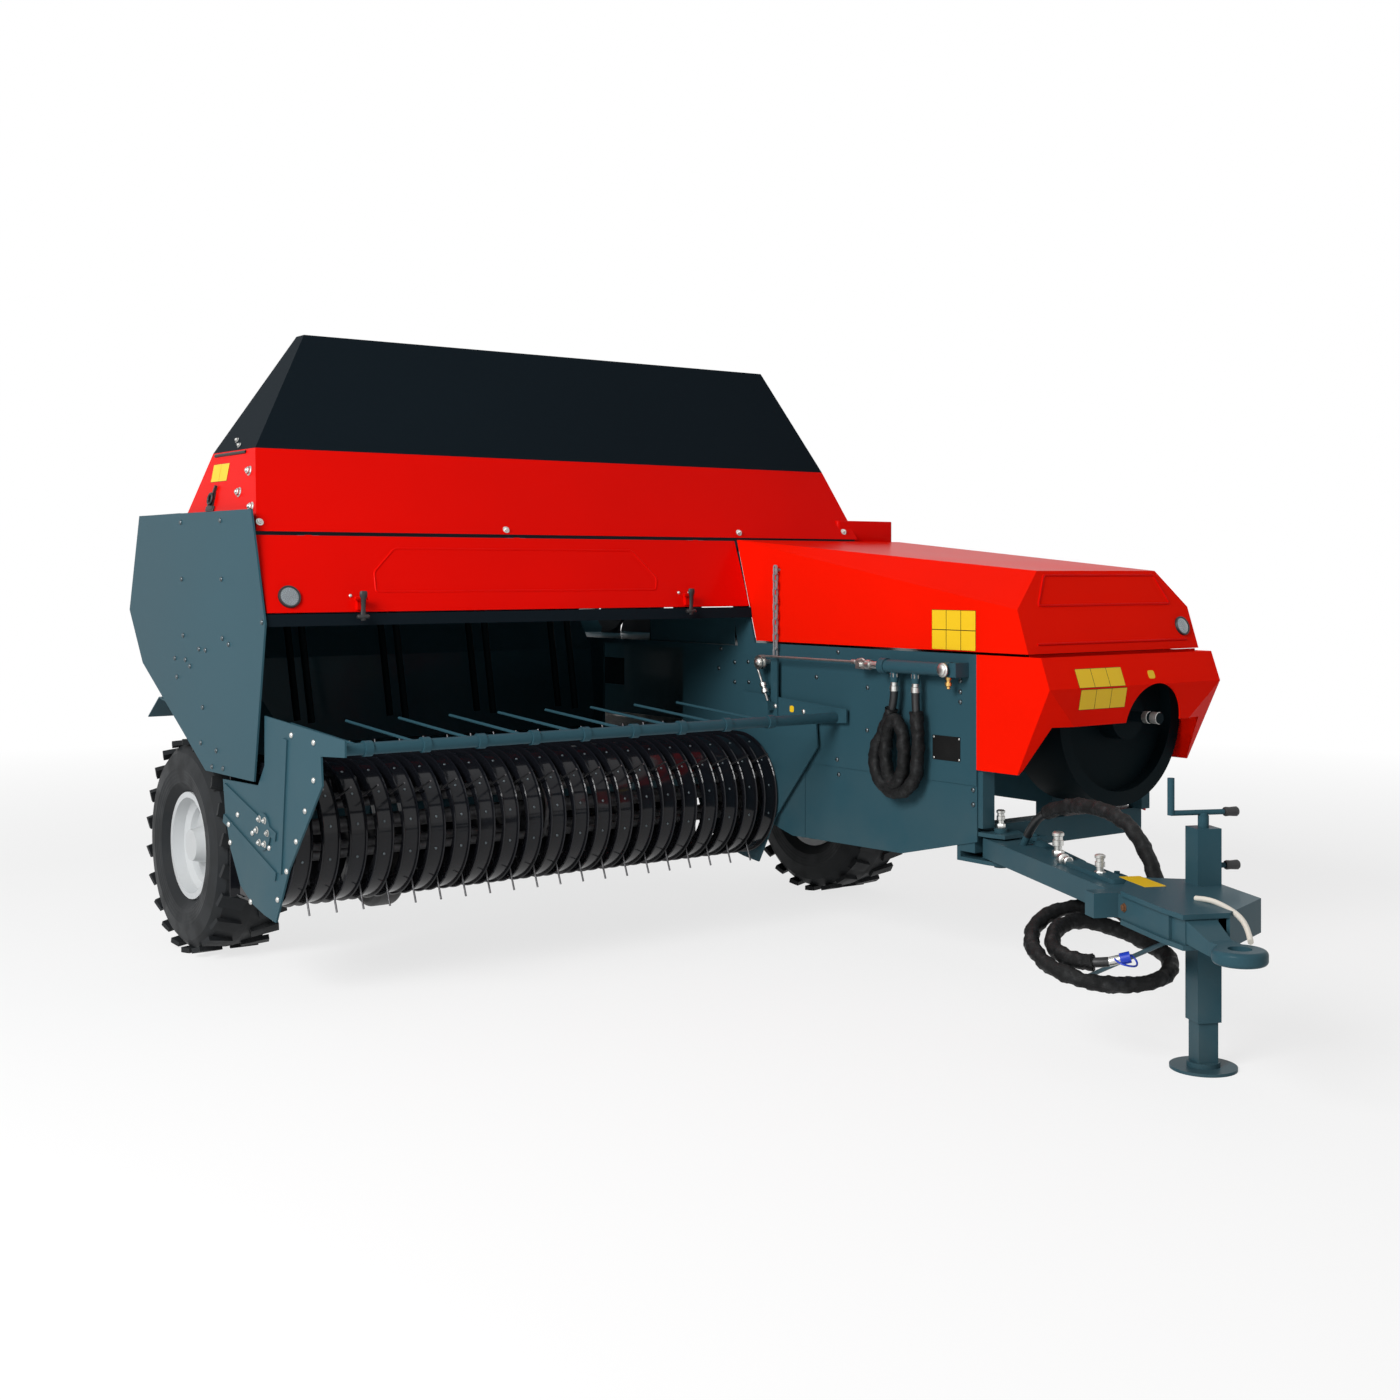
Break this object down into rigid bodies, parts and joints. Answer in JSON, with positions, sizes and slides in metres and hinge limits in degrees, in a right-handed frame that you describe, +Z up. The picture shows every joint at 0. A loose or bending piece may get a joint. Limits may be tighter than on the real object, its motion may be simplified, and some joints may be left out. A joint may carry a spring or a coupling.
{
  "type": "square baler",
  "caption": "Towed square baler: a wide tined pickup and feeder at one side press crop into a long bale chamber, on two wheels, with a swinging drawbar.",
  "frame": {"origin": "on the ground, at the middle of the machine's length and width", "axes": "+Z up; -Y is the way it travels, so +X is the machine's left; the bale leaves towards +Y"},
  "size_m": [2.704, 4.8011, 2.03],
  "materials": {
    "orange_paint": "gloss",
    "black_hood": "satin",
    "slate_paint": "satin",
    "dark_gloss": "gloss",
    "silver_paint": "satin",
    "bare_steel": "satin",
    "rubber": "matte",
    "spring_steel": "satin",
    "cast": "satin",
    "hose_sleeve": "matte",
    "blue_plastic": "satin"
  },
  "bodies": {
    "chassis": {"axle_frame": "slate_paint", "chamber_floor": "bare_steel", "chamber_rails": "slate_paint", "chamber_roof": "slate_paint", "chamber_wall_left": "slate_paint", "chamber_wall_right": "slate_paint", "drive_cover_left": "orange_paint", "feeder_forks": "slate_paint", "feeder_shell": "slate_paint", "gearbox": "slate_paint", "hood_lower": "orange_paint", "hood_upper": "black_hood", "hose_lift": "hose_sleeve", "intake_lip": "black_hood", "knotter_unit": "cast", "lift_barrel": "silver_paint", "lift_cable_drop": "bare_steel", "lift_cable_run": "bare_steel", "lift_pulley": "bare_steel", "main_frame": "slate_paint", "mudguard": "slate_paint", "needle_yoke": "slate_paint", "nose_guard": "orange_paint", "side_panel_right": "slate_paint", "side_plate_left": "orange_paint", "tension_screws": "bare_steel", "top_rails": "slate_paint", "twine_box": "slate_paint"},
    "star": {"star_wheel": "bare_steel"},
    "chute": {"bale_chute": "slate_paint"},
    "cover": {"front_cover": "orange_paint"},
    "nose": {"nose_hood": "orange_paint", "lift_chain": "bare_steel"},
    "flywheel": {"flywheel": "slate_paint"},
    "wheel_right": {"tyre_right": "rubber", "rim_right": "silver_paint"},
    "wheel_left": {"tyre_left": "rubber", "rim_left": "silver_paint"},
    "pickup": {"pickup_plate_right": "dark_gloss", "pickup_plate_left": "dark_gloss", "pickup_bands": "dark_gloss", "pickup_frame": "slate_paint"},
    "gauge": {"gauge_wheel": "rubber"},
    "reel": {"reel": "spring_steel"},
    "windguard": {"windguard": "dark_gloss"},
    "lift_rod": {"lift_rod": "bare_steel"},
    "drawbar": {"pole": "slate_paint", "tow_eye": "slate_paint", "jack_sleeve": "slate_paint", "hose_drawbar": "hose_sleeve", "hose_coil": "hose_sleeve", "hose_tail": "hose_sleeve", "hose_plug": "bare_steel", "hose_cap": "blue_plastic"},
    "jack": {"jack_leg": "slate_paint"},
    "swing_barrel": {"swing_barrel": "slate_paint"},
    "swing_rod": {"swing_rod": "bare_steel"}
  },
  "joints": [
    {"name": "wheel_right_spin", "type": "hinge", "parent": "chassis", "child": "wheel_right", "pos_m": [-1.185, 0.92, 0.355], "axis": [1, 0, 0], "continuous": true},
    {"name": "wheel_left_spin", "type": "hinge", "parent": "chassis", "child": "wheel_left", "pos_m": [1.215, 0.55, 0.355], "axis": [1, 0, 0], "continuous": true},
    {"name": "pickup_lift", "type": "hinge", "parent": "chassis", "child": "pickup", "pos_m": [0, 0.69, 0.56], "axis": [1, 0, 0], "range_deg": [0, 20], "deforming": ["lift_cable_drop"]},
    {"name": "gauge_spin", "type": "hinge", "parent": "pickup", "child": "gauge", "pos_m": [-0.81, 0.48, 0.3], "axis": [1, 0, 0], "continuous": true},
    {"name": "reel_spin", "type": "hinge", "parent": "pickup", "child": "reel", "pos_m": [0, 0.115, 0.505], "axis": [1, 0, 0], "continuous": true},
    {"name": "windguard_tilt", "type": "hinge", "parent": "pickup", "child": "windguard", "pos_m": [0, -0.384, 0.785], "axis": [1, 0, 0], "range_deg": [0, 25]},
    {"name": "lift_rod_slide", "type": "slide", "parent": "chassis", "child": "lift_rod", "axis": [0, 1, 0], "range_m": [0, 0.272], "deforming": ["lift_cable_run"]},
    {"name": "star_spin", "type": "hinge", "parent": "chassis", "child": "star", "pos_m": [0.708, 1.735, 1.101], "axis": [1, 0, 0], "continuous": true},
    {"name": "flywheel_spin", "type": "hinge", "parent": "chassis", "child": "flywheel", "pos_m": [0.945, -1.105, 0.82], "axis": [0, 1, 0], "continuous": true},
    {"name": "pole_swing", "type": "hinge", "parent": "chassis", "child": "drawbar", "pos_m": [0.515, -1.06, 0.41], "axis": [0, 0, 1], "range_deg": [0, 38]},
    {"name": "jack_slide", "type": "slide", "parent": "drawbar", "child": "jack", "axis": [0, 0, 1], "range_m": [0, 0.095]},
    {"name": "swing_barrel_turn", "type": "hinge", "parent": "chassis", "child": "swing_barrel", "pos_m": [0.665, -1.06, 0.42], "axis": [0, 0, 1], "range_deg": [0, 37]},
    {"name": "swing_rod_slide", "type": "slide", "parent": "swing_barrel", "child": "swing_rod", "axis": [-0.482, -0.8762, 0], "range_m": [-0.0975, 0]},
    {"name": "nose_open", "type": "hinge", "parent": "chassis", "child": "nose", "pos_m": [0.72, 0.186, 1.376], "axis": [-1, 0, 0], "range_deg": [0, 50]},
    {"name": "cover_open", "type": "hinge", "parent": "chassis", "child": "cover", "pos_m": [-0.45, 0.191, 1.375], "axis": [-1, 0, 0], "range_deg": [0, 80]},
    {"name": "chute_fold", "type": "hinge", "parent": "chassis", "child": "chute", "pos_m": [0.708, 2.35, 0.625], "axis": [-1, 0, 0], "range_deg": [0, 88]}
  ],
  "couplings": [
    {"joint": "lift_rod_slide", "follows": "pickup_lift", "m_per_rad": 0.7735},
    {"joint": "swing_barrel_turn", "follows": "pole_swing", "ratio": 0.9573},
    {"joint": "swing_rod_slide", "follows": "pole_swing", "m_per_rad": -0.1448}
  ]
}
